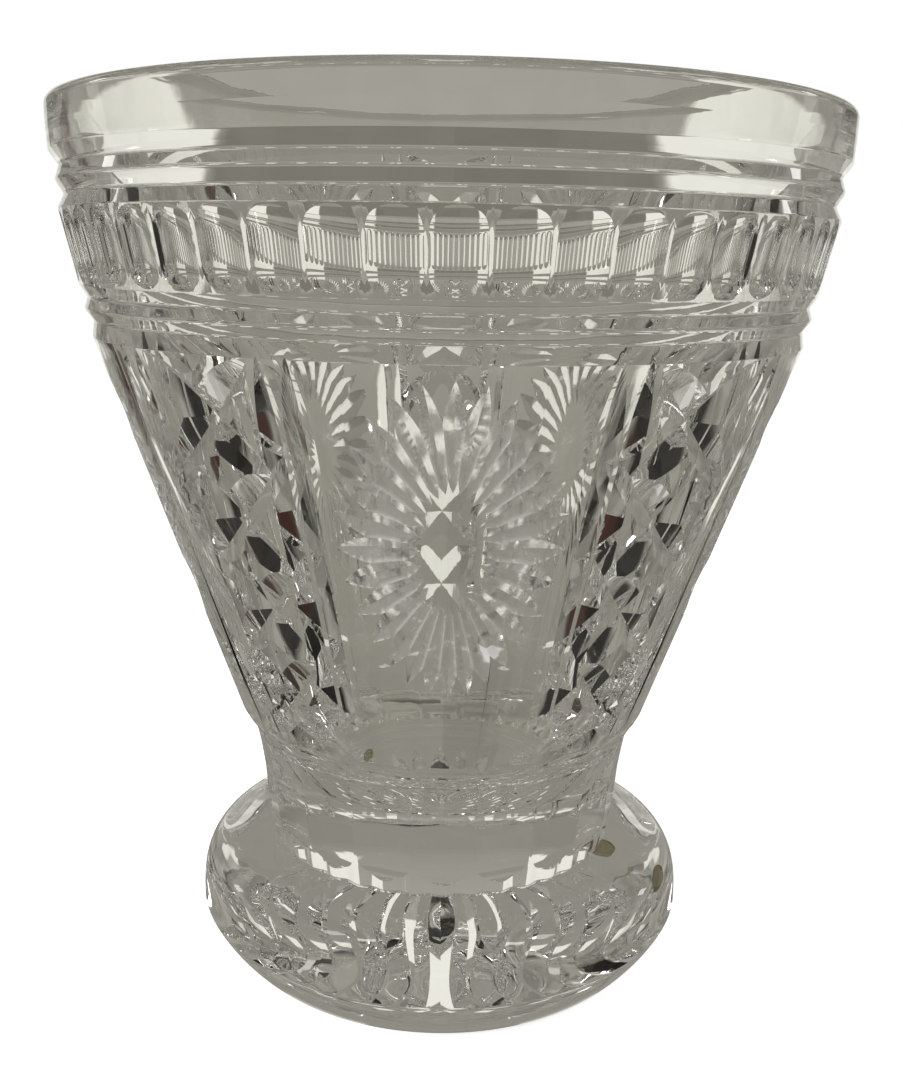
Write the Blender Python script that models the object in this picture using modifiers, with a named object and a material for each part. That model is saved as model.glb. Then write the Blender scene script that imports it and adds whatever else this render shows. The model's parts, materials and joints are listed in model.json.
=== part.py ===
"""Cut crystal vase: a flared, wheel-cut bowl hot-joined to a heavy bun foot that stands on three soft pads.

Lengths are in metres and +Z is up. The glass is drawn from its own underside, at height 0, and each glass
object is then lifted by GLASS_BASE, because the pads hold the glass clear of the table. The front of the
vase, where one of its five sunbursts sits, faces -Y.
"""

import math

import bmesh
import bpy
from mathutils import Matrix, Vector

# Pads and the joints between pieces.
GAP = 0.0003
PAD_HEIGHT = 0.0019
PAD_TOP_RADIUS = 0.0040
PAD_FOOT_RADIUS = 0.0034
PAD_EDGE = 0.0004
PAD_CIRCLE = 0.0540
PAD_COUNT = 3
PAD_SEGMENTS = 16
PAD_FIRST_ANGLE = math.radians(-25.0)
GLASS_BASE = PAD_HEIGHT + GAP

# Turned shape of the bowl: radius and height pairs, from the lip down.
LIP_RADIUS = 0.00255
LIP_CENTRE = (0.10915, 0.25145)
BAND_FOOT = (0.1112, 0.2402)
UPPER_GROOVE = (0.1086, 0.2360)
UPPER_RIDGE = (0.1094, 0.2328)
SECOND_GROOVE = (0.1077, 0.2290)
FLUTE_TOP = (0.1095, 0.2255)
FLUTE_FOOT = (0.1050, 0.2057)
THIRD_GROOVE = (0.1032, 0.2028)
LOWER_RIDGE = (0.1036, 0.1990)
FOURTH_GROOVE = (0.1018, 0.1966)
CONE_TOP = (0.1020, 0.1918)
CONE_FOOT = (0.0587, 0.0662)
NECK_FOOT = (0.0521, 0.0336)
NECK_BULGE = 0.84
NECK_STEPS = 3
INNER_TOP = (0.1042, 0.2400)
INNER_SHOULDER = (0.0937, 0.1910)
INNER_FOOT = (0.0535, 0.0745)
FLOOR_HEIGHT = 0.0560
FLOOR_RADIUS = 0.0340
FLOOR_STEPS = 3
LIP_STEPS = 4

# Turned shape of the foot.
SEAT_RADIUS = 0.0528
SHOULDER = (0.0546, 0.0364)
FOOT_WIDEST = (0.0764, 0.0162)
FOOT_BASE_RADIUS = 0.0642
SHOULDER_SQUARENESS = 3.2
BASE_SQUARENESS = 1.21
FOOT_ARC_STEPS = 5
FOOT_SEGMENTS = 50
UNDERSIDE_RECESS = 0.0006
UNDERSIDE_RECESS_RADIUS = 0.0480

# Wheel cuts. A spread is half the width of a V cut over its depth.
CUT_LIFT = 0.0025
HOLLOW_SIDES = 6
PETAL_SIDES = 4
UPRIGHT = 0.9999
WELD_DISTANCE = 0.00003
PANELS = 5
PANEL_ANGLE = math.tau / PANELS

FLUTE_COUNT = 50
BOWL_SEGMENTS = FLUTE_COUNT
BOWL_TURN = math.radians(0.8)
FLUTE_HALF_WIDTH = 0.0060
FLUTE_HALF_HEIGHT = 0.0092
FLUTE_DEPTH = 0.0013

MITRE_OFFSETS = (math.radians(21.75), math.radians(25.95))
MITRE_TOP = 0.1900
MITRE_FOOT = 0.0850
MITRE_TIP = 0.0150
MITRE_DEPTH = 0.0021
MITRE_SPREAD = 1.30

LATTICE_HALF_ANGLE = math.radians(10.0)
LATTICE_HEIGHTS = (0.1895, 0.1630, 0.1365, 0.1105, 0.0845)
LATTICE_END_DEPTH = 0.0012
LATTICE_SECOND_PASS = 0.00025
LATTICE_SPREAD = 1.50
LATTICE_OVERRUN = 0.0015

PETAL_COUNT = 28
SUNBURST_HEIGHT = 0.1450
SUNBURST_OUTER = (0.0267, 0.0420)
SUNBURST_INNER = (0.0067, 0.0154)
PETAL_HALF_WIDTH = 0.0025
PETAL_DEPTH = 0.0011

FACET_COUNT = 20
FACET_HEIGHT = 0.0625
FACET_HALF_HEIGHT = 0.0150
FACET_HALF_WIDTH = 0.0094
FACET_DEPTH = 0.0012

STAR_COUNT = 24
STAR_INNER = 0.0060
STAR_OUTER = 0.0460
STAR_HALF_WIDTH = 0.0034
STAR_DEPTH = 0.0022
STAR_LIFT = 0.0005

CRYSTAL_COLOUR = (0.86, 0.87, 0.85, 1.0)
CRYSTAL_IOR = 1.54
CRYSTAL_ROUGHNESS = 0.02
PAD_COLOUR = (0.80, 0.72, 0.42, 1.0)
PAD_IOR = 1.49
PAD_ROUGHNESS = 0.25


def clear_scene():
    """Remove whatever the file already holds."""
    for old in list(bpy.data.objects):
        bpy.data.objects.remove(old, do_unlink=True)


def make_collection(name):
    """Add a collection to the scene."""
    collection = bpy.data.collections.new(name)
    bpy.context.scene.collection.children.link(collection)
    return collection


def make_clear_material(name, colour, roughness, ior):
    """A transparent Principled material."""
    material = bpy.data.materials.new(name)
    material.use_nodes = True
    shader = material.node_tree.nodes["Principled BSDF"]
    shader.inputs["Base Color"].default_value = colour
    shader.inputs["Roughness"].default_value = roughness
    shader.inputs["Metallic"].default_value = 0.0
    shader.inputs["Transmission Weight"].default_value = 1.0
    shader.inputs["IOR"].default_value = ior
    material.diffuse_color = colour
    return material


def turned(name, profile, segments, collection, material):
    """Turn a profile of radius and height pairs, which runs down the outer side, about +Z."""
    mesh = bpy.data.meshes.new(name)
    edges = [(i, i + 1) for i in range(len(profile) - 1)]
    mesh.from_pydata([(radius, 0.0, height) for radius, height in profile], edges, [])
    piece = bpy.data.objects.new(name, mesh)
    collection.objects.link(piece)
    screw = piece.modifiers.new("turn", "SCREW")
    screw.axis = "Z"
    screw.angle = math.tau
    screw.steps = segments
    screw.render_steps = segments
    screw.use_merge_vertices = True
    screw.merge_threshold = 0.00001
    mesh.materials.append(material)
    return piece


def make_cutter(name, bm, collection):
    """Turn finished cutter geometry into an object that stands at the glass's own height."""
    mesh = bpy.data.meshes.new(name)
    bmesh.ops.recalc_face_normals(bm, faces=bm.faces)
    bm.to_mesh(mesh)
    bm.free()
    cutter = bpy.data.objects.new(name, mesh)
    cutter.location.z = GLASS_BASE
    cutter.hide_render = True
    cutter.display_type = "WIRE"
    collection.objects.link(cutter)
    return cutter


def cut(piece, cutter):
    """Subtract a cutter from a piece."""
    boolean = piece.modifiers.new(cutter.name, "BOOLEAN")
    boolean.operation = "DIFFERENCE"
    boolean.solver = "EXACT"
    boolean.object = cutter


def weld(piece):
    """Merge the needle-thin leftovers where two cuts meet almost on a line."""
    merge = piece.modifiers.new("weld", "WELD")
    merge.merge_threshold = WELD_DISTANCE


def superellipse(centre_radius, centre_height, width, height, squareness, steps):
    """Quarter of a rounded-square arc, from its top, above the centre, to its widest point."""
    points = []
    for step in range(steps + 1):
        angle = math.pi / 2 * (1 - step / steps)
        across = max(math.cos(angle), 0.0) ** (2 / squareness)
        up = max(math.sin(angle), 0.0) ** (2 / squareness)
        points.append((centre_radius + width * across, centre_height + height * up))
    return points


def lip_arc():
    """Half circle over the lip, from the inner wall to the outer band."""
    points = []
    for step in range(LIP_STEPS + 1):
        angle = math.pi * (1 - step / LIP_STEPS)
        radius = LIP_CENTRE[0] + LIP_RADIUS * math.cos(angle)
        points.append((radius, LIP_CENTRE[1] + LIP_RADIUS * math.sin(angle)))
    return points


def neck_curve():
    """Concave neck, from the foot of the cone down to the crease above the foot."""
    points = []
    for step in range(1, NECK_STEPS + 1):
        t = 1 - step / NECK_STEPS
        swell = t + NECK_BULGE * t * (1 - t)
        radius = NECK_FOOT[0] + (CONE_FOOT[0] - NECK_FOOT[0]) * swell
        points.append((radius, NECK_FOOT[1] + (CONE_FOOT[1] - NECK_FOOT[1]) * t))
    return points


def floor_curve():
    """Inside floor, from the axis out to a flat disc's edge and up a quarter ellipse to the wall."""
    points = [(0.0, FLOOR_HEIGHT)]
    for step in range(FLOOR_STEPS):
        angle = math.pi / 2 * step / FLOOR_STEPS
        radius = FLOOR_RADIUS + (INNER_FOOT[0] - FLOOR_RADIUS) * math.sin(angle)
        points.append((radius, INNER_FOOT[1] - (INNER_FOOT[1] - FLOOR_HEIGHT) * math.cos(angle)))
    return points


def bowl_profile():
    """From the centre of the inside floor, up the inner wall, over the lip and down the outer side."""
    inside = floor_curve() + [INNER_FOOT, INNER_SHOULDER, INNER_TOP]
    bands = [BAND_FOOT, UPPER_GROOVE, UPPER_RIDGE, SECOND_GROOVE, FLUTE_TOP, FLUTE_FOOT]
    bands += [THIRD_GROOVE, LOWER_RIDGE, FOURTH_GROOVE, CONE_TOP, CONE_FOOT]
    return inside + lip_arc() + bands + neck_curve() + [(0.0, NECK_FOOT[1])]


def foot_profile():
    """From the seat under the bowl, over the square shoulder, down the side and under the base."""
    seat = NECK_FOOT[1] - GAP
    shoulder = superellipse(SHOULDER[0], FOOT_WIDEST[1], FOOT_WIDEST[0] - SHOULDER[0],
                            SHOULDER[1] - FOOT_WIDEST[1], SHOULDER_SQUARENESS, FOOT_ARC_STEPS)
    under = superellipse(FOOT_BASE_RADIUS, FOOT_WIDEST[1], FOOT_WIDEST[0] - FOOT_BASE_RADIUS,
                         FOOT_WIDEST[1], BASE_SQUARENESS, FOOT_ARC_STEPS)
    lower = [(radius, 2 * FOOT_WIDEST[1] - height) for radius, height in reversed(under)]
    recess = [(UNDERSIDE_RECESS_RADIUS, 0.0), (UNDERSIDE_RECESS_RADIUS - UNDERSIDE_RECESS, UNDERSIDE_RECESS)]
    return [(0.0, seat), (SEAT_RADIUS, seat)] + shoulder + lower[1:] + recess + [(0.0, UNDERSIDE_RECESS)]


def cone_radius(height):
    """Outer radius of the flared wall between the lower groove and the neck."""
    slope = (CONE_TOP[0] - CONE_FOOT[0]) / (CONE_TOP[1] - CONE_FOOT[1])
    return CONE_FOOT[0] + slope * (height - CONE_FOOT[1])


def cone_point(angle, height):
    """Point on the flared wall; angle 0 is the front and grows towards +X."""
    radius = cone_radius(height)
    return Vector((radius * math.sin(angle), -radius * math.cos(angle), height))


def cone_outward(angle):
    """Outward normal of the flared wall."""
    flare = math.atan2(CONE_TOP[0] - CONE_FOOT[0], CONE_TOP[1] - CONE_FOOT[1])
    return Vector((math.sin(angle) * math.cos(flare), -math.cos(angle) * math.cos(flare), -math.sin(flare)))


def placed(centre, outward, along):
    """Matrix whose Z runs along a cut, whose Y points out of the glass and whose X lies across the cut."""
    along = along.normalized()
    across = outward.cross(along).normalized()
    out = along.cross(across)
    matrix = Matrix((across, out, along)).transposed().to_4x4()
    matrix.translation = centre
    return matrix


def add_v_bar(bm, start, end, outward, keel, spread, tip):
    """Four-sided bar with pointed ends, whose lower edge cuts a straight V.

    The bar's middle line runs from start to end, its lower edge lies keel below that line, and its half
    width is keel times spread.
    """
    length = (end - start).length
    frame = placed((start + end) / 2, outward, end - start)
    sides = bmesh.ops.create_cone(bm, cap_ends=True, segments=4, radius1=1.0, radius2=1.0, depth=length)
    new_verts = sides["verts"]
    caps = {face for vert in new_verts for face in vert.link_faces
            if abs(face.normal.z) > UPRIGHT}
    bmesh.ops.scale(bm, vec=(keel * spread, keel, 1.0), verts=new_verts)
    points = bmesh.ops.poke(bm, faces=list(caps))["verts"]
    for point in points:
        point.co.z += math.copysign(tip, point.co.z)
    bmesh.ops.transform(bm, matrix=frame, verts=new_verts + points)


def add_lens(bm, centre, outward, along, half_length, half_width, depth, facets):
    """Squashed sphere that sinks depth into the glass at centre; PETAL_SIDES gives a pointed V petal."""
    ball = bmesh.ops.create_uvsphere(bm, u_segments=facets, v_segments=max(2, facets - 2), radius=1.0)
    bmesh.ops.scale(bm, vec=(half_width, depth, half_length), verts=ball["verts"])
    bmesh.ops.transform(bm, matrix=placed(centre, outward, along), verts=ball["verts"])


def flute_cutter(parity, collection):
    """Every other one of the upright oval flutes in the band below the rim."""
    bm = bmesh.new()
    middle_radius = (FLUTE_TOP[0] + FLUTE_FOOT[0]) / 2
    middle_height = (FLUTE_TOP[1] + FLUTE_FOOT[1]) / 2
    rise = FLUTE_TOP[1] - FLUTE_FOOT[1]
    run = FLUTE_TOP[0] - FLUTE_FOOT[0]
    for index in range(parity, FLUTE_COUNT, 2):
        angle = math.tau * index / FLUTE_COUNT
        ray = Vector((math.sin(angle), -math.cos(angle), 0.0))
        along = ray * run + Vector((0.0, 0.0, rise))
        outward = ray * rise - Vector((0.0, 0.0, run))
        centre = ray * middle_radius + Vector((0.0, 0.0, middle_height))
        add_lens(bm, centre, outward, along, FLUTE_HALF_HEIGHT, FLUTE_HALF_WIDTH, FLUTE_DEPTH,
                 HOLLOW_SIDES)
    return make_cutter(f"flutes_{parity}", bm, collection)


def facet_cutter(parity, collection):
    """Every other one of the broad upright facets around the neck."""
    bm = bmesh.new()
    for index in range(parity, FACET_COUNT, 2):
        angle = math.tau * index / FACET_COUNT
        ray = Vector((math.sin(angle), -math.cos(angle), 0.0))
        centre = cone_point(angle, FACET_HEIGHT)
        add_lens(bm, centre, ray, Vector((0.0, 0.0, 1.0)), FACET_HALF_HEIGHT, FACET_HALF_WIDTH,
                 FACET_DEPTH, HOLLOW_SIDES)
    return make_cutter(f"facets_{parity}", bm, collection)


def mitre_cutter(offset_index, collection):
    """Upright V cuts that frame each panel, one on either side of it."""
    bm = bmesh.new()
    for panel in range(PANELS):
        for side in (-1, 1):
            angle = panel * PANEL_ANGLE + side * MITRE_OFFSETS[offset_index]
            outward = cone_outward(angle)
            start = cone_point(angle, MITRE_TOP - MITRE_TIP) + outward * CUT_LIFT
            end = cone_point(angle, MITRE_FOOT) + outward * CUT_LIFT
            keel = MITRE_DEPTH + CUT_LIFT
            add_v_bar(bm, start, end, outward, keel, MITRE_SPREAD, MITRE_TIP * keel / MITRE_DEPTH)
    return make_cutter(f"mitres_{offset_index}", bm, collection)


def lattice_cutter(direction, collection):
    """Slanting V cuts of the diamond columns; direction is +1 or -1, and +1 is cut a touch deeper."""
    bm = bmesh.new()
    extra = LATTICE_SECOND_PASS if direction > 0 else 0.0
    keel = LATTICE_END_DEPTH + CUT_LIFT + extra
    for panel in range(PANELS):
        centre = (panel + 0.5) * PANEL_ANGLE
        outward = cone_outward(centre)
        for upper, lower in zip(LATTICE_HEIGHTS, LATTICE_HEIGHTS[1:]):
            start = cone_point(centre - direction * LATTICE_HALF_ANGLE, upper)
            end = cone_point(centre + direction * LATTICE_HALF_ANGLE, lower)
            overrun = (end - start).normalized() * LATTICE_OVERRUN
            lift = outward * CUT_LIFT
            add_v_bar(bm, start - overrun + lift, end + overrun + lift, outward, keel, LATTICE_SPREAD,
                      LATTICE_OVERRUN)
    return make_cutter(f"lattice_{'rising' if direction < 0 else 'falling'}", bm, collection)


def petal_cutter(parity, collection):
    """Every other petal of the oval sunbursts."""
    bm = bmesh.new()
    middle_radius = cone_radius(SUNBURST_HEIGHT)
    for panel in range(PANELS):
        facing = panel * PANEL_ANGLE
        for index in range(parity, PETAL_COUNT, 2):
            turn = math.tau * index / PETAL_COUNT
            ends = [(facing + reach[0] * math.sin(turn) / middle_radius,
                     SUNBURST_HEIGHT + reach[1] * math.cos(turn))
                    for reach in (SUNBURST_INNER, SUNBURST_OUTER)]
            inner, outer = (cone_point(angle, height) for angle, height in ends)
            middle_angle = (ends[0][0] + ends[1][0]) / 2
            add_lens(bm, (inner + outer) / 2, cone_outward(middle_angle), outer - inner,
                     (outer - inner).length / 2, PETAL_HALF_WIDTH, PETAL_DEPTH, PETAL_SIDES)
    return make_cutter(f"petals_{parity}", bm, collection)


def star_cutter(parity, collection):
    """Every other ray of the star under the foot."""
    bm = bmesh.new()
    down = Vector((0.0, 0.0, -1.0))
    for index in range(parity, STAR_COUNT, 2):
        angle = math.tau * (index + 0.5) / STAR_COUNT
        ray = Vector((math.sin(angle), -math.cos(angle), 0.0))
        centre = ray * (STAR_INNER + STAR_OUTER) / 2 + Vector((0.0, 0.0, UNDERSIDE_RECESS - STAR_LIFT))
        add_lens(bm, centre, down, ray, (STAR_OUTER - STAR_INNER) / 2, STAR_HALF_WIDTH,
                 STAR_DEPTH, PETAL_SIDES)
    return make_cutter(f"star_{parity}", bm, collection)


def build_bowl(collection, cutters, material):
    """The flared bowl with all of its wheel cuts."""
    bowl = turned("bowl", bowl_profile(), BOWL_SEGMENTS, collection, material)
    bowl.location.z = GLASS_BASE
    bowl.rotation_euler.z = BOWL_TURN
    for parity in (0, 1):
        cut(bowl, flute_cutter(parity, cutters))
        cut(bowl, facet_cutter(parity, cutters))
        cut(bowl, mitre_cutter(parity, cutters))
        cut(bowl, petal_cutter(parity, cutters))
    for direction in (-1, 1):
        cut(bowl, lattice_cutter(direction, cutters))
    weld(bowl)


def build_foot(collection, cutters, material):
    """The bun foot with the star cut into its underside."""
    foot = turned("foot", foot_profile(), FOOT_SEGMENTS, collection, material)
    foot.location.z = GLASS_BASE
    for parity in (0, 1):
        cut(foot, star_cutter(parity, cutters))
    weld(foot)


def build_pads(collection, material):
    """Soft clear pads stuck under the foot, evenly spaced on one circle."""
    profile = [(0.0, PAD_HEIGHT), (PAD_TOP_RADIUS, PAD_HEIGHT), (PAD_TOP_RADIUS, PAD_HEIGHT - PAD_EDGE),
               (PAD_FOOT_RADIUS, PAD_EDGE / 2), (PAD_FOOT_RADIUS - PAD_EDGE, 0.0), (0.0, 0.0)]
    for index in range(PAD_COUNT):
        angle = PAD_FIRST_ANGLE + math.tau * index / PAD_COUNT
        pad = turned(f"pad_{index + 1}", profile, PAD_SEGMENTS, collection, material)
        pad.location = (PAD_CIRCLE * math.sin(angle), -PAD_CIRCLE * math.cos(angle), 0.0)


def main():
    clear_scene()
    vase = make_collection("cut_crystal_vase")
    cutters = make_collection("cutters")
    crystal = make_clear_material("crystal", CRYSTAL_COLOUR, CRYSTAL_ROUGHNESS, CRYSTAL_IOR)
    soft = make_clear_material("pad_polyurethane", PAD_COLOUR, PAD_ROUGHNESS, PAD_IOR)
    build_bowl(vase, cutters, crystal)
    build_foot(vase, cutters, crystal)
    build_pads(vase, soft)


main()
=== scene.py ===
"""Fine looks for the cut crystal vase: wheel-cut lead crystal on three yellowed soft pads."""

import json
import math

import bmesh
import bpy
from mathutils import Matrix, Vector

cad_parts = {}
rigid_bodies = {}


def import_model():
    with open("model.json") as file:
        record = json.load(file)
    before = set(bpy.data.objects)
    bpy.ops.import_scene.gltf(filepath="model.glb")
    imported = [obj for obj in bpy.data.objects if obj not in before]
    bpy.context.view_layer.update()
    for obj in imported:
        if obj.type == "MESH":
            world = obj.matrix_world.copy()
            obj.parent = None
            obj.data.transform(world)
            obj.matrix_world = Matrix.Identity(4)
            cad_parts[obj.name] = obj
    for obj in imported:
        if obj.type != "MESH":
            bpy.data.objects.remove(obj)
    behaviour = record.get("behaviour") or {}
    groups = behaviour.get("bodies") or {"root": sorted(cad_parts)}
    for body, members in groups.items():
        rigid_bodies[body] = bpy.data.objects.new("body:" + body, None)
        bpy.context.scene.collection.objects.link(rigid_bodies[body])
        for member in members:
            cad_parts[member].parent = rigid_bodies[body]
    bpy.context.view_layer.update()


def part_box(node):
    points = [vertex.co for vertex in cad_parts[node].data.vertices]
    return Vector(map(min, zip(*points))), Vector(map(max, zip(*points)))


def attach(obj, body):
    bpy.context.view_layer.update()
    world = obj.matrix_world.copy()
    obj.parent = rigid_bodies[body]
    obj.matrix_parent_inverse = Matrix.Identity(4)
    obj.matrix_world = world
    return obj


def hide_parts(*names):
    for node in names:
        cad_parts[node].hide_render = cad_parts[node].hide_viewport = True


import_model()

# The frame gives the glass's base and height; the fine outline below is in millimetres at that height.
BASE_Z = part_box("foot")[0].z
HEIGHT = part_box("bowl")[1].z - BASE_Z
OUTLINE_HEIGHT = 254.0
UNIT = HEIGHT / OUTLINE_HEIGHT

# The lip is a half circle: its centre's radius and height, then its own radius.
LIP = (109.15, 251.45, 2.55)
LIP_STEPS = 16
# Turned outlines of the bowl, outside from the lip down and inside from the cavity floor up: the radius,
# height and fillet radius of each corner.
OUTER_CORNERS = [
    (111.55, 246.0, 6.0),
    (111.2, 240.2, 0.7),
    (108.7, 236.6, 1.2),
    (109.9, 232.9, 1.6),
    (107.8, 229.3, 1.2),
    (109.5, 225.7, 0.6),
    (105.0, 205.7, 0.6),
    (103.0, 202.6, 1.2),
    (104.0, 199.3, 1.6),
    (101.7, 196.2, 1.2),
    (102.2, 191.8, 0.6),
    (62.4, 77.4, 14.0),
    (57.0, 62.0, 34.0),
    (54.6, 44.0, 10.0),
    (53.6, 37.4, 1.4),
]
CREASE = (50.8, 34.0)
INNER_CORNERS = [
    (0.0, 56.0, 0.0),
    (30.0, 56.0, 20.0),
    (52.0, 72.0, 20.0),
    (93.7, 191.0, 60.0),
    (104.4, 240.0, 20.0),
]

# Bun foot: one squared arc from the shoulder out to the widest ring, another from there in to the flat base.
SHOULDER = (53.0, 36.4)
FOOT_WIDEST = (76.4, 16.2)
FOOT_BASE = 64.2
SHOULDER_SQUARENESS = 3.2
BASE_SQUARENESS = 1.21
FOOT_ARC_STEPS = 28

# The pattern repeats five times, and each repeat is a wedge and its mirror image.
PANELS = 5
WEDGE_ANGLE = math.pi / PANELS
WEDGE_STEPS = 60
ARC_STEP = math.radians(9.0)
# A corner that turns less than this needs no fillet.
STRAIGHT = 0.01
TINY = 1e-6


def polar(radius, angle, height):
    """Point at an angle from the front, growing towards +X."""
    return Vector((radius * math.sin(angle), -radius * math.cos(angle), height))


def fillet(points):
    """Replace each corner (r, z, radius) of an open outline by an arc; the ends stay sharp."""
    out = [points[0][:2]]
    for before, corner, after in zip(points, points[1:], points[2:]):
        here = Vector(corner[:2])
        back = (Vector(before[:2]) - here).normalized()
        ahead = (Vector(after[:2]) - here).normalized()
        turn = math.pi - back.angle(ahead)
        if corner[2] == 0.0 or turn < STRAIGHT:
            out.append(corner[:2])
            continue
        reach = corner[2] * math.tan(turn / 2)
        # A fillet takes less than half of the shorter side, so that its neighbour fits too.
        longest = 0.48 * min((Vector(before[:2]) - here).length, (Vector(after[:2]) - here).length)
        radius = corner[2] * min(1.0, longest / reach)
        reach = radius * math.tan(turn / 2)
        centre = here + (back + ahead).normalized() * (radius / math.cos(turn / 2))
        start = here + back * reach - centre
        sweep = turn if start.x * ahead.y - start.y * ahead.x > 0 else -turn
        steps = max(2, math.ceil(turn / ARC_STEP))
        for step in range(steps + 1):
            angle = sweep * step / steps
            spun = Vector((start.x * math.cos(angle) - start.y * math.sin(angle),
                           start.x * math.sin(angle) + start.y * math.cos(angle)))
            out.append(tuple(centre + spun))
    out.append(points[-1][:2])
    return out


def lip_arc():
    """Half circle over the lip, from the inner wall to the outer band."""
    radius, height, bend = LIP
    angles = [math.pi * k / LIP_STEPS for k in range(LIP_STEPS + 1)]
    return [(radius - bend * math.cos(angle), height + bend * math.sin(angle)) for angle in angles]


def squared_arc(centre, reach, squareness, steps):
    """Quarter superellipse from above its centre out to its widest point."""
    points = []
    for step in range(steps + 1):
        angle = math.pi / 2 * (1 - step / steps)
        across = max(math.cos(angle), 0.0) ** (2 / squareness)
        up = max(math.sin(angle), 0.0) ** (2 / squareness)
        points.append((centre[0] + reach[0] * across, centre[1] + reach[1] * up))
    return points


def bowl_outline():
    """From the middle of the cavity floor, up the inner wall, over the lip and down to the crease."""
    lip = lip_arc()
    inner = fillet([*INNER_CORNERS, (*lip[0], 0.0)])
    outer = fillet([(*lip[-1], 0.0), *OUTER_CORNERS, (*CREASE, 0.0)])
    return inner[:-1] + lip + outer[1:]


def foot_outline():
    """From the crease, over the shoulder and down the side to the flat base."""
    widest, level = FOOT_WIDEST
    upper = squared_arc((SHOULDER[0], level), (widest - SHOULDER[0], SHOULDER[1] - level),
                        SHOULDER_SQUARENESS, FOOT_ARC_STEPS)
    under = squared_arc((FOOT_BASE, level), (widest - FOOT_BASE, level), BASE_SQUARENESS, FOOT_ARC_STEPS)
    lower = [(radius, 2 * level - height) for radius, height in reversed(under)]
    return [CREASE] + upper + lower[1:]


def turned_wedge(outline, name):
    """Closed wedge of a turned solid between the front plane and the next plane of symmetry."""
    bm = bmesh.new()
    rings = []
    for radius, height in outline:
        if radius < TINY:
            rings.append([bm.verts.new((0.0, 0.0, height))])
        else:
            rings.append([bm.verts.new(polar(radius, WEDGE_ANGLE * k / WEDGE_STEPS, height))
                          for k in range(WEDGE_STEPS + 1)])
    for upper, lower in zip(rings, rings[1:]):
        for k in range(WEDGE_STEPS):
            corners = [upper[min(k, len(upper) - 1)], lower[min(k, len(lower) - 1)],
                       lower[min(k + 1, len(lower) - 1)], upper[min(k + 1, len(upper) - 1)]]
            unique = list(dict.fromkeys(corners))
            if len(unique) > 2:
                bm.faces.new(unique)
    bm.faces.new([ring[0] for ring in rings])
    bm.faces.new([ring[-1] for ring in rings][::-1])
    bmesh.ops.recalc_face_normals(bm, faces=bm.faces)
    return to_object(bm, name)


def to_object(bm, name):
    """Give finished geometry an object in the scene."""
    mesh = bpy.data.meshes.new(name)
    bm.to_mesh(mesh)
    bm.free()
    piece = bpy.data.objects.new(name, mesh)
    bpy.context.scene.collection.objects.link(piece)
    return piece


# Wheel cuts, in millimetres. The cone under the bands carries the panels and the columns.
CONE_TOP = (102.2, 191.8)
CONE_FOOT = (58.6, 66.5)
# How far a cutter stands out of the glass above its cut.
CUT_CLEAR = 3.0


def cone_radius(height):
    """Radius of the cone's skin."""
    slope = (CONE_TOP[0] - CONE_FOOT[0]) / (CONE_TOP[1] - CONE_FOOT[1])
    return CONE_FOOT[0] + slope * (height - CONE_FOOT[1])


def cone_point(angle, height):
    """Point on the cone's skin."""
    return polar(cone_radius(height), angle, height)


def cone_outward(angle):
    """Direction straight out of the cone's skin."""
    flare = math.atan2(CONE_TOP[0] - CONE_FOOT[0], CONE_TOP[1] - CONE_FOOT[1])
    return Vector((math.sin(angle) * math.cos(flare), -math.cos(angle) * math.cos(flare), -math.sin(flare)))


def placed(centre, outward, along):
    """Matrix whose Z runs along a cut, whose Y points out of the glass and whose X lies across the cut."""
    along = along.normalized()
    across = outward.cross(along).normalized()
    matrix = Matrix((across, along.cross(across), along)).transposed().to_4x4()
    matrix.translation = centre
    return matrix


def v_section(keel, top, spread):
    """V of a mitre wheel, from its left edge at the top, through the keel, to its right edge."""
    width = (top - keel) * spread
    return [(-width, top), (0.0, keel), (width, top)]


def hollow_section(keel, top, radius, steps=24):
    """Hollow of a round-edged wheel."""
    reach = math.acos(max(-1.0, 1.0 - (top - keel) / radius))
    angles = [reach * (2 * k / steps - 1) for k in range(steps + 1)]
    return [(radius * math.sin(angle), keel + radius - radius * math.cos(angle)) for angle in angles]


def groove(matrix, stations, section, name, group):
    """Cutter lofted along Z: stations are (distance along, keel height); section gives each outline."""
    bm = bmesh.new()
    rings = []
    for along, keel in stations:
        rings.append([bm.verts.new(matrix @ Vector((x, y, along))) for x, y in section(keel)])
    for near, far in zip(rings, rings[1:]):
        for k in range(len(near)):
            nxt = (k + 1) % len(near)
            bm.faces.new((near[k], near[nxt], far[nxt], far[k]))
    bm.faces.new(rings[0][::-1])
    bm.faces.new(rings[-1])
    bmesh.ops.recalc_face_normals(bm, faces=bm.faces)
    cutter = to_object(bm, name)
    bpy.context.scene.collection.objects.unlink(cutter)
    group.objects.link(cutter)


def wheel_stations(half_length, depth, power=2.0, steps=14, past=1.25):
    """Keel of a cut that is depth deep in its middle and comes out of the glass at both ends."""
    shares = [2 * k / steps - 1 for k in range(steps + 1)]
    return [(half_length * past * share, depth * (past * abs(share)) ** power - depth) for share in shares]


# Oval sunburst in the middle of each panel: half width and half height of its outer and inner ends.
SUNBURST_PETALS = 28
SUNBURST_Z = 146.0
SUNBURST_OUT = (26.7, 42.5)
SUNBURST_IN = (6.7, 15.4)
PETAL_DEPTH = 1.35
PETAL_SPREAD = 2.05


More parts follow.
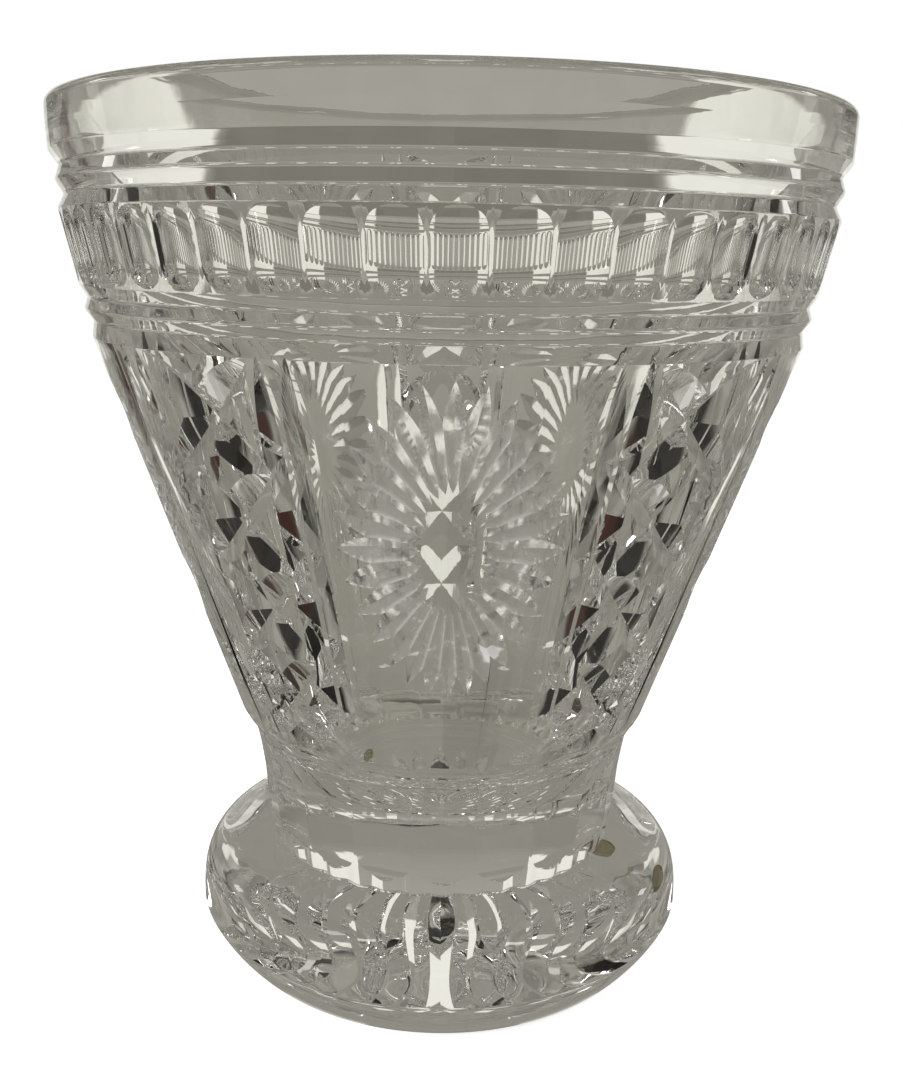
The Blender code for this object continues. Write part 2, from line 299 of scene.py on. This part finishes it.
def petal_cutters(group):
    """Right half of the front sunburst."""
    radius = cone_radius(SUNBURST_Z)
    for index in range(SUNBURST_PETALS // 2 + 1):
        turn = math.tau * index / SUNBURST_PETALS
        inner, outer = [cone_point(wide * math.sin(turn) / radius, SUNBURST_Z + tall * math.cos(turn))
                        for wide, tall in (SUNBURST_IN, SUNBURST_OUT)]
        middle = (inner + outer) / 2
        angle = math.atan2(middle.x, -middle.y)
        half = (outer - inner).length / 2
        groove(placed(middle, cone_outward(angle), outer - inner), wheel_stations(half, PETAL_DEPTH),
               lambda keel: v_section(keel, CUT_CLEAR, PETAL_SPREAD), f"petal_{index}", group)


MITRES = (math.radians(20.6), math.radians(24.6))
MITRE_TOP = 193.5
MITRE_FOOT = 84.0
MITRE_DEPTH = 2.7
MITRE_RUN_IN = 26.0
MITRE_RUN_OUT = 6.0
MITRE_SPREAD = 1.4
MITRE_STEPS = 60


def mitre_cutters(group):
    """Two upright V cuts that frame the panel."""
    length = MITRE_TOP - MITRE_FOOT
    stations = []
    # Two steps past each end, the cutter is clear of the glass.
    for k in range(-2, MITRE_STEPS + 3):
        down = length * (k / MITRE_STEPS)
        run_in = max(0.0, 1 - down / MITRE_RUN_IN)
        run_out = max(0.0, 1 - (length - down) / MITRE_RUN_OUT)
        stations.append((down, MITRE_DEPTH * (run_in ** 2 + run_out ** 2) - MITRE_DEPTH))
    for index, angle in enumerate(MITRES):
        top = cone_point(angle, MITRE_TOP)
        foot = cone_point(angle, MITRE_FOOT)
        groove(placed(top, cone_outward(angle), foot - top), stations,
               lambda keel: v_section(keel, CUT_CLEAR, MITRE_SPREAD), f"mitre_{index}", group)


LATTICE_REACH = math.radians(9.0)
LATTICE_HEIGHTS = (190.0, 163.0, 136.5, 110.5, 84.5)
LATTICE_DEPTH = 2.7
LATTICE_SPREAD = 1.5
LATTICE_CLEAR = 4.5
# The second direction is cut a little deeper, so that the keels don't meet at the crossings.
LATTICE_SECOND_PASS = 0.15
# The cutter runs this much past the column's edge, where the cut has lost this share of its depth.
LATTICE_PAST = 1.12
LATTICE_FADE = 0.6
LATTICE_STEPS = 16


def lattice_cutters(group):
    """Slanting V cuts of the diamond column on the wedge's far plane."""
    for direction, depth in ((-1, LATTICE_DEPTH), (1, LATTICE_DEPTH + LATTICE_SECOND_PASS)):
        for tier, (upper, lower) in enumerate(zip(LATTICE_HEIGHTS, LATTICE_HEIGHTS[1:])):
            start = cone_point(WEDGE_ANGLE - direction * LATTICE_REACH, upper)
            end = cone_point(WEDGE_ANGLE + direction * LATTICE_REACH, lower)
            half = (end - start).length / 2
            shares = [LATTICE_PAST * (2 * k / LATTICE_STEPS - 1) for k in range(LATTICE_STEPS + 1)]
            stations = [(half * share, -depth * (1 - abs(share) ** 4 * LATTICE_FADE)) for share in shares]
            groove(placed((start + end) / 2, cone_outward(WEDGE_ANGLE), end - start), stations,
                   lambda keel: v_section(keel, LATTICE_CLEAR, LATTICE_SPREAD),
                   f"lattice_{direction + 1}_{tier}", group)


FLUTES = 50
FLUTE_TOP = (109.5, 225.7)
FLUTE_FOOT = (105.0, 205.7)
FLUTE_HALF = 9.6
FLUTE_DEPTH = 1.5
FLUTE_HOLLOW = 15.5
FLUTE_CLEAR = 1.5


def flute_cutters(group):
    """Upright hollow flutes of the band below the rim."""
    rise = FLUTE_TOP[1] - FLUTE_FOOT[1]
    run = FLUTE_TOP[0] - FLUTE_FOOT[0]
    for index in range(FLUTES // (2 * PANELS) + 2):
        angle = math.tau * index / FLUTES
        ray = polar(1.0, angle, 0.0)
        centre = polar((FLUTE_TOP[0] + FLUTE_FOOT[0]) / 2, angle, (FLUTE_TOP[1] + FLUTE_FOOT[1]) / 2)
        outward = ray * rise - Vector((0.0, 0.0, run))
        along = ray * run + Vector((0.0, 0.0, rise))
        stations = wheel_stations(FLUTE_HALF, FLUTE_DEPTH, power=5.0, steps=32, past=1.08)
        groove(placed(centre, outward.normalized(), along), stations,
               lambda keel: hollow_section(keel, FLUTE_CLEAR, FLUTE_HOLLOW), f"flute_{index}", group)


FACETS = 20
FACET_TOP = 76.0
FACET_FOOT = 36.0
FACET_RADIUS = 57.3
FACET_LEAN = 0.14
FACET_DEPTH = 1.7
FACET_HALF_WIDTH = 14.0
FACET_CLEAR = 6.0


def facet_section(keel):
    """Flat face of a wide wheel."""
    return [(-FACET_HALF_WIDTH, FACET_CLEAR), (-FACET_HALF_WIDTH, keel),
            (FACET_HALF_WIDTH, keel), (FACET_HALF_WIDTH, FACET_CLEAR)]


def facet_cutters(group):
    """Broad upright flats around the neck."""
    for index in range(FACETS // (2 * PANELS) + 2):
        angle = math.tau * index / FACETS
        centre = polar(FACET_RADIUS, angle, (FACET_TOP + FACET_FOOT) / 2)
        along = polar(FACET_LEAN, angle, 1.0)
        outward = polar(1.0, angle, -FACET_LEAN)
        stations = wheel_stations((FACET_TOP - FACET_FOOT) / 2, FACET_DEPTH, power=4.0, steps=30)
        groove(placed(centre, outward.normalized(), along), stations, facet_section, f"facet_{index}", group)


STAR_RAYS = 30
STAR_IN = 0.5
STAR_OUT = 50.0
STAR_DEPTH = 2.3
STAR_SPREAD = 1.7


def star_cutters(group):
    """Rays of the star under the foot."""
    for index in range(STAR_RAYS // (2 * PANELS) + 1):
        angle = math.tau * index / STAR_RAYS
        ray = polar(1.0, angle, 0.0)
        centre = ray * (STAR_IN + STAR_OUT) / 2
        stations = wheel_stations((STAR_OUT - STAR_IN) / 2, STAR_DEPTH)
        groove(placed(centre, Vector((0.0, 0.0, -1.0)), ray), stations,
               lambda keel: v_section(keel, CUT_CLEAR, STAR_SPREAD), f"star_{index}", group)


def cut_by(piece, makers):
    """Subtract every cutter that the makers add, then drop the cutters."""
    group = bpy.data.collections.new("cutters")
    bpy.context.scene.collection.children.link(group)
    for maker in makers:
        maker(group)
    boolean = piece.modifiers.new("cuts", "BOOLEAN")
    boolean.operation = "DIFFERENCE"
    boolean.solver = "EXACT"
    boolean.operand_type = "COLLECTION"
    boolean.collection = group
    graph = bpy.context.evaluated_depsgraph_get()
    graph.update()
    cut_mesh = bpy.data.meshes.new_from_object(piece.evaluated_get(graph))
    piece.modifiers.clear()
    old = piece.data
    piece.data = cut_mesh
    bpy.data.meshes.remove(old)
    for cutter in list(group.objects):
        bpy.data.objects.remove(cutter, do_unlink=True)
    bpy.data.collections.remove(group)


# Both glass pieces carry the crystal first, then the joint's clear skin, then the petals' glass.
JOINT_SLOT = 1
PETAL_SLOT = 2
# A face this far under the skin inside the panel belongs to a petal.
PETAL_SKIN = 0.05
PANEL_REACH = math.radians(18.0)


def cone_panel(place):
    """Whether a place on or just under the wedge's outer skin lies inside the front panel."""
    angle = math.atan2(place.x, -place.y)
    return angle < PANEL_REACH and math.hypot(place.x, place.y) > cone_radius(place.z) - 2 * PETAL_DEPTH


# Each band is the heights between which an effect fades in, then those between which it fades out.
DRIFT = math.radians(3.4)
DRIFT_BAND = ((80.0, 88.0), (193.0, 205.0))
RIPPLES = 40
RIPPLE = 0.010
RIPPLE_BAND = ((34.2, 37.5), (46.0, 60.0))
RIPPLE_RADIUS = CREASE[0] - 2.0


def faded(height, band):
    """Share of an effect that fades in over the first span of heights and out over the second."""
    rise = (height - band[0][0]) / (band[0][1] - band[0][0])
    fall = (band[1][1] - height) / (band[1][1] - band[1][0])
    share = max(0.0, min(1.0, rise, fall))
    return share * share * (3 - 2 * share)


def drifted(place):
    """The cutter's own drift, which widens the panels towards the front, and the soft ripple of the skirt."""
    angle = math.atan2(place.x, -place.y)
    turn = DRIFT * math.sin(angle) * faded(place.z, DRIFT_BAND)
    swell = 1.0
    if math.hypot(place.x, place.y) > RIPPLE_RADIUS:
        swell += RIPPLE * math.cos(RIPPLES * angle) * faded(place.z, RIPPLE_BAND)
    moved = Matrix.Rotation(turn, 3, "Z") @ place
    return Vector((moved.x * swell, moved.y * swell, moved.z))


FLAT_TOLERANCE = 2e-4
WELD = 1e-4


def open_sides(bm):
    """Delete the wedge's two flat sides, where its copies will join it."""
    sides = [Vector((math.cos(angle), math.sin(angle), 0.0)) for angle in (0.0, WEDGE_ANGLE)]
    flat = [face for face in bm.faces
            if any(all(abs(vert.co.dot(side)) < FLAT_TOLERANCE for vert in face.verts) for side in sides)]
    bmesh.ops.delete(bm, geom=flat, context="FACES")


def mark_petals(bm):
    """Give the petals' faces their own material."""
    for face in bm.faces:
        place = face.calc_center_median()
        depth = cone_radius(place.z) - math.hypot(place.x, place.y)
        if depth > PETAL_SKIN and abs(place.z - SUNBURST_Z) < SUNBURST_OUT[1] and cone_panel(place):
            face.material_index = PETAL_SLOT


def round_off(piece):
    """Mirror the cut wedge, repeat the pair round the axis and bring it to its real size and place."""
    bm = bmesh.new()
    bm.from_mesh(piece.data)
    open_sides(bm)
    mark_petals(bm)
    bmesh.ops.mirror(bm, geom=bm.verts[:] + bm.edges[:] + bm.faces[:], axis="X", merge_dist=WELD)
    pair = bm.verts[:] + bm.edges[:] + bm.faces[:]
    for turn in range(1, PANELS):
        copy = bmesh.ops.duplicate(bm, geom=pair)
        verts = [item for item in copy["geom"] if isinstance(item, bmesh.types.BMVert)]
        around = Matrix.Rotation(turn * math.tau / PANELS, 3, "Z")
        bmesh.ops.rotate(bm, verts=verts, cent=(0, 0, 0), matrix=around)
    bmesh.ops.remove_doubles(bm, verts=bm.verts, dist=WELD)
    bmesh.ops.recalc_face_normals(bm, faces=bm.faces)
    for vert in bm.verts:
        vert.co = drifted(vert.co)
    bmesh.ops.transform(bm, matrix=Matrix.Translation((0, 0, BASE_Z)) @ Matrix.Scale(UNIT, 4), verts=bm.verts)
    bm.to_mesh(piece.data)
    bm.free()


def add_bowl():
    """Bowl from the lip down to the flat joint at the crease, with all its cuts."""
    bowl = turned_wedge(bowl_outline() + [(0.0, CREASE[1])], "bowl_crystal")
    cut_by(bowl, [petal_cutters, mitre_cutters, lattice_cutters, flute_cutters, facet_cutters])
    round_off(bowl)
    return bowl


def add_foot():
    """Foot from the flat joint at the crease down to the base, with the star under it."""
    foot = turned_wedge([(0.0, CREASE[1])] + foot_outline() + [(0.0, 0.0)], "foot_crystal")
    cut_by(foot, [star_cutters])
    round_off(foot)
    return foot


def add_node(material, kind, **inputs):
    """Node of a material, with some of its inputs set by name."""
    node = material.node_tree.nodes.new(kind)
    for name, value in inputs.items():
        node.inputs[name.replace("_", " ")].default_value = value
    return node


CRYSTAL_IOR = 1.55
CRYSTAL_COLOUR = (0.975, 0.975, 0.955, 1.0)
PETAL_COLOUR = (0.96, 0.96, 0.945, 1.0)
PAD_IOR = 1.49
PAD_COLOUR = (0.80, 0.70, 0.36, 1.0)
PAD_DEEP = (0.46, 0.36, 0.12, 1.0)
PAD_PALE = (0.90, 0.84, 0.55, 1.0)


def glass_material(name, colour, roughness):
    """Principled glass, and the object's own coordinates for its detail."""
    material = bpy.data.materials.new(name)
    material.use_nodes = True
    shader = material.node_tree.nodes["Principled BSDF"]
    shader.inputs["Base Color"].default_value = colour
    shader.inputs["Roughness"].default_value = roughness
    shader.inputs["IOR"].default_value = CRYSTAL_IOR
    shader.inputs["Transmission Weight"].default_value = 1.0
    place = material.node_tree.nodes.new("ShaderNodeTexCoord").outputs["Object"]
    return material, shader, place


def rippled(material, place, layers):
    """Bump of several noises; each layer is its scale per metre and its height in metres."""
    links = material.node_tree.links
    normal = None
    for scale, height in layers:
        noise = add_node(material, "ShaderNodeTexNoise", Scale=scale, Detail=2.0)
        bump = add_node(material, "ShaderNodeBump", Strength=1.0, Distance=height)
        links.new(place, noise.inputs["Vector"])
        links.new(noise.outputs["Fac"], bump.inputs["Height"])
        if normal is not None:
            links.new(normal, bump.inputs["Normal"])
        normal = bump.outputs["Normal"]
    return normal


def crystal_material():
    """Acid-polished lead crystal: a faint waviness of the skin and slight cloudiness here and there."""
    material, shader, place = glass_material("crystal", CRYSTAL_COLOUR, 0.0)
    links = material.node_tree.links
    links.new(rippled(material, place, [(45.0, 0.00006), (260.0, 0.000004)]), shader.inputs["Normal"])
    cloud = add_node(material, "ShaderNodeTexNoise", Scale=30.0, Detail=4.0)
    haze = add_node(material, "ShaderNodeMapRange", From_Min=0.55, From_Max=0.8, To_Min=0.0, To_Max=0.03)
    links.new(place, cloud.inputs["Vector"])
    links.new(cloud.outputs["Fac"], haze.inputs["Value"])
    links.new(haze.outputs[0], shader.inputs["Roughness"])
    return material


def petal_material():
    """Wheel-cut petals that the polish left lightly frosted, with fine pits; their paler edges are a painted
    highlight.
    """
    material, shader, place = glass_material("petal", PETAL_COLOUR, 0.2)
    links = material.node_tree.links
    links.new(rippled(material, place, [(420.0, 0.000008), (1900.0, 0.0000015)]), shader.inputs["Normal"])
    grain = add_node(material, "ShaderNodeTexNoise", Scale=900.0, Detail=3.0)
    frost = add_node(material, "ShaderNodeMapRange", From_Min=0.35, From_Max=0.65, To_Min=0.04, To_Max=0.16)
    links.new(place, grain.inputs["Vector"])
    links.new(grain.outputs["Fac"], frost.inputs["Value"])
    links.new(frost.outputs[0], shader.inputs["Roughness"])
    # Painted highlight and shade: the ridges turn from clear glass to pale diffuse frost that the lamps light
    # white, and the keels stay clear and darker.
    edge = add_node(material, "ShaderNodeNewGeometry").outputs["Pointiness"]
    painted_ridge_highlight = add_node(material, "ShaderNodeMapRange", From_Min=0.50, From_Max=0.55, To_Min=0.94, To_Max=0.25)
    links.new(edge, painted_ridge_highlight.inputs["Value"])
    links.new(painted_ridge_highlight.outputs[0], shader.inputs["Transmission Weight"])
    return material


def pad_material():
    """Clear polyurethane that has yellowed, more so in patches, with a satin skin."""
    material, shader, place = glass_material("pad_polyurethane", PAD_COLOUR, 0.25)
    links = material.node_tree.links
    shader.inputs["IOR"].default_value = PAD_IOR
    shader.inputs["Transmission Weight"].default_value = 0.7
    mottle = add_node(material, "ShaderNodeTexNoise", Scale=700.0, Detail=4.0)
    tint = add_node(material, "ShaderNodeValToRGB")
    tint.color_ramp.elements[0].color = PAD_DEEP
    tint.color_ramp.elements[1].color = PAD_PALE
    links.new(place, mottle.inputs["Vector"])
    links.new(mottle.outputs["Fac"], tint.inputs["Fac"])
    links.new(tint.outputs[0], shader.inputs["Base Color"])
    links.new(rippled(material, place, [(1500.0, 0.00002)]), shader.inputs["Normal"])
    return material


def joint_material():
    """Clear skin for the two faces that touch inside the fused joint, so that light crosses it unbent."""
    material = bpy.data.materials.new("fused_joint")
    material.use_nodes = True
    nodes = material.node_tree.nodes
    nodes.clear()
    out = nodes.new("ShaderNodeOutputMaterial")
    clear = nodes.new("ShaderNodeBsdfTransparent")
    material.node_tree.links.new(clear.outputs[0], out.inputs[0])
    return material


CUT_EDGE = math.radians(13.0)
LEVEL = 1e-4


def skin(piece, materials):
    """Put the glass's materials on a piece, mark its joint face and keep its cut edges crisp."""
    mesh = piece.data
    for material in materials:
        mesh.materials.append(material)
    joint_z = BASE_Z + CREASE[1] * UNIT
    for face in mesh.polygons:
        if abs(abs(face.normal.z) - 1.0) < LEVEL and abs(face.center.z - joint_z) < TINY:
            face.material_index = JOINT_SLOT
    mesh.shade_smooth()
    mesh.set_sharp_from_angle(angle=CUT_EDGE)


# Camera: its place in the outline's millimetres, then its angles, focal length and turn about the vase.
EYE = Vector((0.0, -367.9, 215.1))
PITCH = math.radians(13.394)
ROLL = math.radians(1.0)
YAW = math.radians(-0.31)
LENS = 40.15
ORBIT = math.radians(-1.0)


def add_camera():
    """Camera in front of the vase, a little below the height of its rim and tilted down."""
    data = bpy.data.cameras.new("camera")
    data.sensor_fit = "VERTICAL"
    data.sensor_height = 36.0
    data.lens = LENS
    data.clip_start = 0.01
    camera = bpy.data.objects.new("camera", data)
    place = Matrix.Translation(Vector((0, 0, BASE_Z)) + EYE * UNIT)
    tilt = Matrix.Rotation(math.pi / 2 - PITCH, 4, "X") @ Matrix.Rotation(ROLL, 4, "Z")
    turn = Matrix.Rotation(YAW, 4, "Z") @ tilt
    camera.matrix_world = Matrix.Rotation(ORBIT, 4, "Z") @ place @ turn
    bpy.context.scene.collection.objects.link(camera)
    bpy.context.scene.camera = camera


def add_stage():
    """Plain pale floor, which only the camera sees; the glass sees the room below."""
    bm = bmesh.new()
    bmesh.ops.create_grid(bm, x_segments=1, y_segments=1, size=4.0)
    floor = to_object(bm, "floor")
    material = bpy.data.materials.new("floor")
    material.use_nodes = True
    shader = material.node_tree.nodes["Principled BSDF"]
    shader.inputs["Base Color"].default_value = (0.8, 0.8, 0.8, 1.0)
    shader.inputs["Roughness"].default_value = 0.9
    shader.inputs["Emission Color"].default_value = (1.0, 1.0, 1.0, 1.0)
    shader.inputs["Emission Strength"].default_value = 0.8
    floor.data.materials.append(material)
    floor.visible_transmission = False
    floor.visible_glossy = False
    floor.visible_diffuse = False


def add_lamp(name, place, target, size, power):
    """Soft lamp that lights frosted skins; polished glass doesn't mirror it."""
    light = bpy.data.lights.new(name, "AREA")
    light.size = size
    light.energy = power
    lamp = bpy.data.objects.new(name, light)
    lamp.location = place
    lamp.rotation_euler = (Vector(target) - Vector(place)).to_track_quat("-Z", "Y").to_euler()
    lamp.visible_camera = False
    lamp.visible_glossy = False
    lamp.visible_transmission = False
    bpy.context.scene.collection.objects.link(lamp)


# A Mix node's colour sockets, which share their names with its sockets of other types.
MIX_BELOW, MIX_ABOVE, MIX_RESULT = 6, 7, 2


class Room:
    """Node tree of the studio around the vase, painted by direction."""

    def __init__(self):
        world = bpy.data.worlds.new("room")
        world.use_nodes = True
        self.nodes = world.node_tree.nodes
        self.links = world.node_tree.links
        self.nodes.clear()
        bpy.context.scene.world = world
        place = self.nodes.new("ShaderNodeTexCoord").outputs["Generated"]
        split = self.nodes.new("ShaderNodeSeparateXYZ")
        self.links.new(place, split.inputs[0])
        self.place = place
        x, y, self.rise = split.outputs
        self.azimuth = self.math("ARCTAN2", x, y)
        self.elevation = self.math("ARCSINE", self.rise)

    def math(self, operation, *values):
        """Math node of numbers and other nodes' outputs."""
        node = self.nodes.new("ShaderNodeMath")
        node.operation = operation
        for socket, value in zip(node.inputs, values):
            if isinstance(value, (int, float)):
                socket.default_value = value
            else:
                self.links.new(value, socket)
        return node.outputs[0]

    def step(self, value, low, high):
        """Smooth step from 0 at low to 1 at high."""
        node = self.nodes.new("ShaderNodeMapRange")
        node.interpolation_type = "SMOOTHSTEP"
        self.links.new(value, node.inputs[0])
        node.inputs[1].default_value = low
        node.inputs[2].default_value = high
        return node.outputs[0]

    def patch(self, azimuth, elevation, half_width, half_height, soft):
        """Mask of a soft rectangle, in degrees; azimuth 0 is behind the vase, and 90 is its right side."""
        across = self.math("ABSOLUTE", self.math("SUBTRACT", self.azimuth, math.radians(azimuth)))
        up = self.math("ABSOLUTE", self.math("SUBTRACT", self.elevation, math.radians(elevation)))
        wide = self.step(across, math.radians(half_width + soft), math.radians(half_width))
        tall = self.step(up, math.radians(half_height + soft), math.radians(half_height))
        return self.math("MULTIPLY", wide, tall)

    def ramp(self, value, stops):
        """Colour ramp with a stop at each (position, colour)."""
        node = self.nodes.new("ShaderNodeValToRGB")
        self.links.new(value, node.inputs[0])
        ramp = node.color_ramp
        ramp.elements[0].position, ramp.elements[0].color = stops[0][0], (*stops[0][1], 1.0)
        ramp.elements[1].position, ramp.elements[1].color = stops[-1][0], (*stops[-1][1], 1.0)
        for position, colour in stops[1:-1]:
            ramp.elements.new(position).color = (*colour, 1.0)
        return node.outputs[0]

    def over(self, below, mask, colour):
        """Colour laid over what is below, through a mask."""
        node = self.nodes.new("ShaderNodeMix")
        node.data_type = "RGBA"
        self.links.new(mask, node.inputs["Factor"])
        self.links.new(below, node.inputs[MIX_BELOW])
        node.inputs[MIX_ABOVE].default_value = (*colour, 1.0)
        return node.outputs[MIX_RESULT]

    def cluttered(self, colour):
        """Furniture and shade at the sides of the room, which only shows there; the far wall stays plain."""
        noise = self.nodes.new("ShaderNodeTexNoise")
        noise.inputs["Scale"].default_value = CLUTTER_SCALE
        noise.inputs["Detail"].default_value = 3.0
        self.links.new(self.place, noise.inputs["Vector"])
        level = self.nodes.new("ShaderNodeMapRange")
        level.interpolation_type = "SMOOTHSTEP"
        self.links.new(noise.outputs["Fac"], level.inputs[0])
        level.inputs[1].default_value, level.inputs[2].default_value = CLUTTER_SPAN
        level.inputs[3].default_value, level.inputs[4].default_value = CLUTTER
        aside = self.step(self.math("ABSOLUTE", self.azimuth), *CLUTTER_FROM)
        gain = self.math("ADD", 1.0, self.math("MULTIPLY", aside, self.math("SUBTRACT", level.outputs[0], 1.0)))
        node = self.nodes.new("ShaderNodeVectorMath")
        node.operation = "SCALE"
        self.links.new(colour, node.inputs[0])
        self.links.new(gain, node.inputs["Scale"])
        return node.outputs[0]

    def finish(self, colour):
        """The camera itself sees plain white; the glass sees the painted room."""
        out = self.nodes.new("ShaderNodeOutputWorld")
        room = self.nodes.new("ShaderNodeBackground")
        white = self.nodes.new("ShaderNodeBackground")
        mix = self.nodes.new("ShaderNodeMixShader")
        path = self.nodes.new("ShaderNodeLightPath")
        self.links.new(colour, room.inputs["Color"])
        white.inputs["Color"].default_value = (1.0, 1.0, 1.0, 1.0)
        self.links.new(path.outputs["Is Camera Ray"], mix.inputs[0])
        self.links.new(room.outputs[0], mix.inputs[1])
        self.links.new(white.outputs[0], mix.inputs[2])
        self.links.new(mix.outputs[0], out.inputs[0])


# Floor, walls and ceiling: colour by height, from straight down at 0, through the horizon at 0.5, to
# straight up at 1.
WALL = [(0.0, (0.270, 0.262, 0.228)), (0.30, (0.268, 0.260, 0.226)), (0.40, (0.285, 0.276, 0.240)),
        (0.47, (0.340, 0.331, 0.293)), (0.53, (0.375, 0.366, 0.328)), (0.56, (0.330, 0.322, 0.286)),
        (0.70, (0.285, 0.278, 0.247)), (1.0, (0.270, 0.263, 0.232))]
DARK = (0.008, 0.007, 0.006)
BROWN = (0.040, 0.014, 0.010)
SHADE = (0.190, 0.182, 0.156)
SIDE = (0.66, 0.65, 0.61)
WINDOW = (0.90, 0.89, 0.82)
BRIGHT = (5.0, 5.0, 4.9)
# Azimuth, elevation, half width, half height, softness and colour of each patch, from back to front.
PATCHES = [
    (-84.0, -28.0, 16.0, 20.0, 6.0, DARK),
    (86.0, -30.0, 15.0, 22.0, 6.0, DARK),
    (-96.0, -20.0, 6.0, 10.0, 4.0, BROWN),
    (99.0, -28.0, 4.0, 7.0, 4.0, BROWN),
    (-41.0, -9.0, 3.0, 9.0, 1.5, BROWN),
    (-75.0, 10.0, 8.0, 8.0, 1.5, SIDE),
    (-96.0, 9.0, 7.0, 9.0, 1.5, SIDE),
    (76.0, 10.0, 8.0, 8.0, 1.5, SIDE),
    (97.0, 9.0, 7.0, 9.0, 1.5, SIDE),
    (0.0, 15.5, 12.0, 6.0, 1.0, SHADE),
    (-21.5, 7.0, 8.0, 14.5, 0.8, WINDOW),
    (21.5, 7.0, 8.0, 14.5, 0.8, WINDOW),
    (-60.0, 32.0, 7.0, 6.0, 1.5, DARK),
    (60.0, 32.0, 7.0, 6.0, 1.5, DARK),
    (-78.0, 62.0, 22.0, 10.0, 2.0, DARK),
    (78.0, 62.0, 22.0, 10.0, 2.0, DARK),
    (180.0, -62.0, 40.0, 12.0, 3.0, DARK),
    (-66.0, 20.0, 2.5, 3.0, 0.5, BRIGHT),
    (66.0, 20.0, 2.5, 3.0, 0.5, BRIGHT),
    (-112.0, 52.0, 5.0, 5.0, 0.5, BRIGHT),
    (116.0, 52.0, 5.0, 5.0, 0.5, BRIGHT),
]
# Noise over the side walls: its scale, the span of noise used, the gains it turns into, and the azimuths
# between which it sets in.
CLUTTER_SCALE = 5.0
CLUTTER_SPAN = (0.40, 0.60)
CLUTTER = (0.74, 1.22)
CLUTTER_FROM = (math.radians(30.0), math.radians(46.0))


def add_room():
    """Pale grey-beige room, with two windows behind the vase and dark and bright places at its sides."""
    room = Room()
    height = room.math("MULTIPLY_ADD", room.rise, 0.5, 0.5)
    colour = room.cluttered(room.ramp(height, WALL))
    for azimuth, elevation, half_width, half_height, soft, paint in PATCHES:
        colour = room.over(colour, room.patch(azimuth, elevation, half_width, half_height, soft), paint)
    room.finish(colour)
    scene = bpy.context.scene
    scene.view_settings.view_transform = "Standard"
    # A ray meets many faces on its way through the cut glass.
    scene.cycles.max_bounces = 24
    scene.cycles.transmission_bounces = 24
    scene.cycles.glossy_bounces = 16
    scene.cycles.transparent_max_bounces = 16


# Pads, in metres. Their adhesive faces reach this far into the glass, so that no air shows between.
PAD_SINK = 0.00003
PAD_NODES = ("pad_1", "pad_2", "pad_3")
PAD_EDGE = 0.00015
PAD_SKIRT = 0.0006
PAD_TOP_SHARE = 0.97
PAD_FLAT_SHARE = 0.80
PAD_CROWN = 1.5
PAD_DOME_STEPS = 10
PAD_TURN_STEPS = 48
PAD_SHARP = math.radians(40.0)


def add_pad(node, material):
    """Domed bumper pad in the place of its CAD node, its adhesive face in contact with the glass."""
    low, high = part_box(node)
    centre = (low + high) / 2
    radius = (high.x - low.x) / 2
    top = BASE_Z + PAD_SINK
    skirt = top - PAD_SKIRT
    outline = [(0.0, top), (radius * PAD_TOP_SHARE, top), (radius, top - PAD_EDGE), (radius, skirt)]
    for k in range(1, PAD_DOME_STEPS + 1):
        angle = math.pi / 2 * k / PAD_DOME_STEPS
        share = PAD_FLAT_SHARE + (1.0 - PAD_FLAT_SHARE) * math.cos(angle)
        outline.append((radius * share, skirt * (1 - math.sin(angle) ** PAD_CROWN)))
    outline.append((0.0, 0.0))
    bm = bmesh.new()
    verts = [bm.verts.new((r, 0.0, z)) for r, z in outline]
    edges = [bm.edges.new(pair) for pair in zip(verts, verts[1:])]
    bmesh.ops.spin(bm, geom=verts + edges, cent=(0, 0, 0), axis=(0, 0, 1), angle=math.tau,
                   steps=PAD_TURN_STEPS, use_merge=True)
    bmesh.ops.remove_doubles(bm, verts=bm.verts, dist=TINY)
    bmesh.ops.recalc_face_normals(bm, faces=bm.faces)
    bmesh.ops.translate(bm, verts=bm.verts, vec=(centre.x, centre.y, 0.0))
    pad = to_object(bm, node + "_dome")
    pad.data.materials.append(material)
    pad.data.shade_smooth()
    pad.data.set_sharp_from_angle(angle=PAD_SHARP)
    return pad


LAMP_AIM = (0.0, 0.0, 0.15)
LAMP_SIZE = 0.4

bowl = add_bowl()
foot = add_foot()
glass = [crystal_material(), joint_material(), petal_material()]
for piece, node in ((bowl, "bowl"), (foot, "foot")):
    skin(piece, glass)
    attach(piece, "root")
    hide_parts(node)
yellowed = pad_material()
for node in PAD_NODES:
    pad = add_pad(node, yellowed)
    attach(pad, "root")
    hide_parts(node)
add_camera()
add_stage()
add_room()
add_lamp("left_softbox", (-0.8, -0.7, 0.7), LAMP_AIM, LAMP_SIZE, 13.0)
add_lamp("right_softbox", (0.3, -0.9, 1.1), LAMP_AIM, LAMP_SIZE, 6.0)
